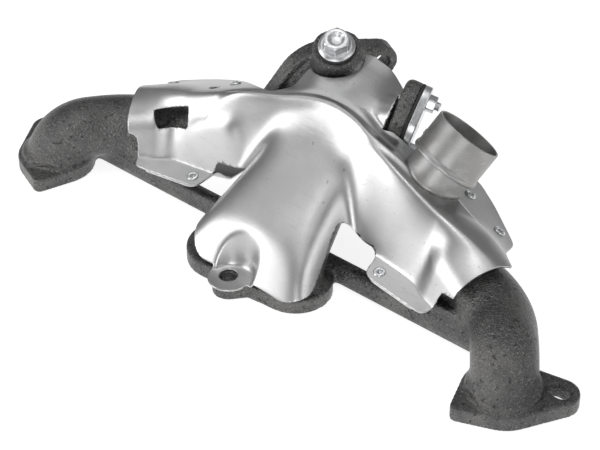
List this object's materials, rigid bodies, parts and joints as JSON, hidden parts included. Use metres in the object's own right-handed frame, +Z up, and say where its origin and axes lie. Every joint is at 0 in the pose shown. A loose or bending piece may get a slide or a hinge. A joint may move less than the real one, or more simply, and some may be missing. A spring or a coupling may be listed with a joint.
{
  "type": "exhaust manifold",
  "caption": "Cast-iron engine exhaust manifold with a riveted sheet-steel hot-air shield, a hose tube, an eared outlet flange, a sealed sensor plug and a covered side port.",
  "frame": {"origin": "on the head face, midway between the two centre ports", "axes": "+X along the engine, +Y away from the front bolt towards the outlet, +Z up from the head face"},
  "size_m": [0.4338, 0.1856, 0.126],
  "materials": {
    "iron": "sand cast, dark grey",
    "shield_sheet": "pressed satin sheet with a bright coat",
    "tube_sheet": "duller drawn tube with fine scratches",
    "zinc_steel": "zinc plated",
    "seal": "matt black seal"
  },
  "bodies": {
    "manifold": {"manifold_casting": "iron", "upper_heat_shield": "shield_sheet", "lower_heat_shield_left": "shield_sheet", "lower_heat_shield_right": "shield_sheet", "hot_air_collar": "tube_sheet", "hot_air_sleeve": "tube_sheet", "front_left_eyelet": "zinc_steel", "front_right_eyelet": "zinc_steel", "rear_left_outer_eyelet": "zinc_steel", "rear_left_inner_eyelet": "zinc_steel", "rear_right_outer_eyelet": "zinc_steel", "rear_right_inner_eyelet": "zinc_steel", "side_port_gasket": "seal", "side_port_cover": "zinc_steel", "side_port_upper_stud": "zinc_steel", "side_port_lower_stud": "zinc_steel", "side_port_upper_nut": "zinc_steel", "side_port_lower_nut": "zinc_steel"},
    "plug_washer": {"plug_seal_washer": "seal"},
    "plug": {"sensor_port_plug": "zinc_steel"}
  },
  "joints": [
    {"name": "washer_lift", "type": "slide", "parent": "manifold", "child": "plug_washer", "axis": [0.2497, -0.3596, 0.8991], "range_m": [0, 0.012]},
    {"name": "plug_turn", "type": "hinge", "parent": "plug_washer", "child": "plug", "pos_m": [-0.016, 0.0885, 0.113], "axis": [0.2497, -0.3596, 0.8991], "range_deg": [0, 2880]}
  ],
  "couplings": [
    {"joint": "washer_lift", "follows": "plug_turn", "m_per_rad": 0.00023873}
  ]
}
